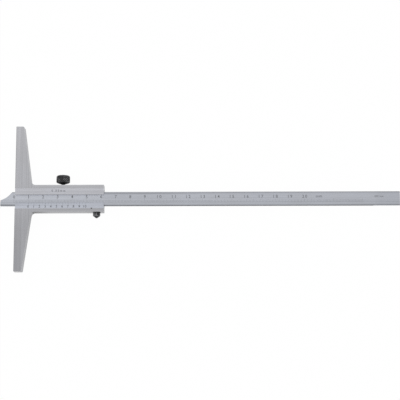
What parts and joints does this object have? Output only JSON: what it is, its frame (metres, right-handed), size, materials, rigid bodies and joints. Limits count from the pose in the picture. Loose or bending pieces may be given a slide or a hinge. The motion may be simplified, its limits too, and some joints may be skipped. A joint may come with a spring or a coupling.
{
  "type": "vernier depth gauge",
  "caption": "Vernier depth gauge: a T-shaped measuring base with a slider, a graduated depth beam, a vernier plate, a knurled lock knob and a knurled guide screw.",
  "frame": {"origin": "the point of the base's measuring face that lies on the beam's centre line, in the plane of the flat back that the gauge lies on", "axes": "+X along the beam from the measuring face to the beam's rear end, so the beam's tip points to -X; +Y along the base towards the lock knob; +Z out of the scales, up"},
  "size_m": [0.275, 0.1006, 0.0095],
  "materials": {
    "ground_steel": "ground, fine straight grain",
    "satin_chrome": "satin chrome plated",
    "satin_beam": "satin chrome plated, engraved marks filled black",
    "black_steel": "black oxide, knurled",
    "dark_steel": "turned, plain",
    "bronze": "rolled spring bronze",
    "brass": "turned brass"
  },
  "bodies": {
    "frame": {"body": "ground_steel", "retaining_strip": "satin_chrome", "vernier_plate": "satin_chrome", "vernier_pin": "dark_steel", "gib_strip": "bronze", "gib_screws": "black_steel"},
    "depth_beam": {"beam": "satin_beam"},
    "lock_plug": {"lock_pad": "brass"},
    "lock": {"lock_screw": "dark_steel", "lock_knob": "black_steel"},
    "guide_plug": {"guide_pin": "brass"},
    "guide": {"guide_screw": "black_steel"}
  },
  "joints": [
    {"name": "depth_slide", "type": "slide", "parent": "frame", "child": "depth_beam", "axis": [-1, 0, 0], "range_m": [-0.0103, 0.1897]},
    {"name": "lock_travel", "type": "slide", "parent": "frame", "child": "lock_plug", "axis": [0, 1, 0], "range_m": [-0.00018, 0.0015]},
    {"name": "lock_turn", "type": "hinge", "parent": "lock_plug", "child": "lock", "pos_m": [0.0327, 0.0095, 0.0048], "axis": [0, 1, 0], "range_deg": [-130, 1081]},
    {"name": "guide_travel", "type": "slide", "parent": "frame", "child": "guide_plug", "axis": [0, -1, 0], "range_m": [-0.00013, 0.00125]},
    {"name": "guide_turn", "type": "hinge", "parent": "guide_plug", "child": "guide", "pos_m": [0.056, -0.00845, 0.00453], "axis": [0, -1, 0], "range_deg": [-101, 1001]}
  ],
  "couplings": [
    {"joint": "lock_turn", "follows": "lock_travel", "rad_per_m": 12566},
    {"joint": "guide_turn", "follows": "guide_travel", "rad_per_m": 13963}
  ]
}
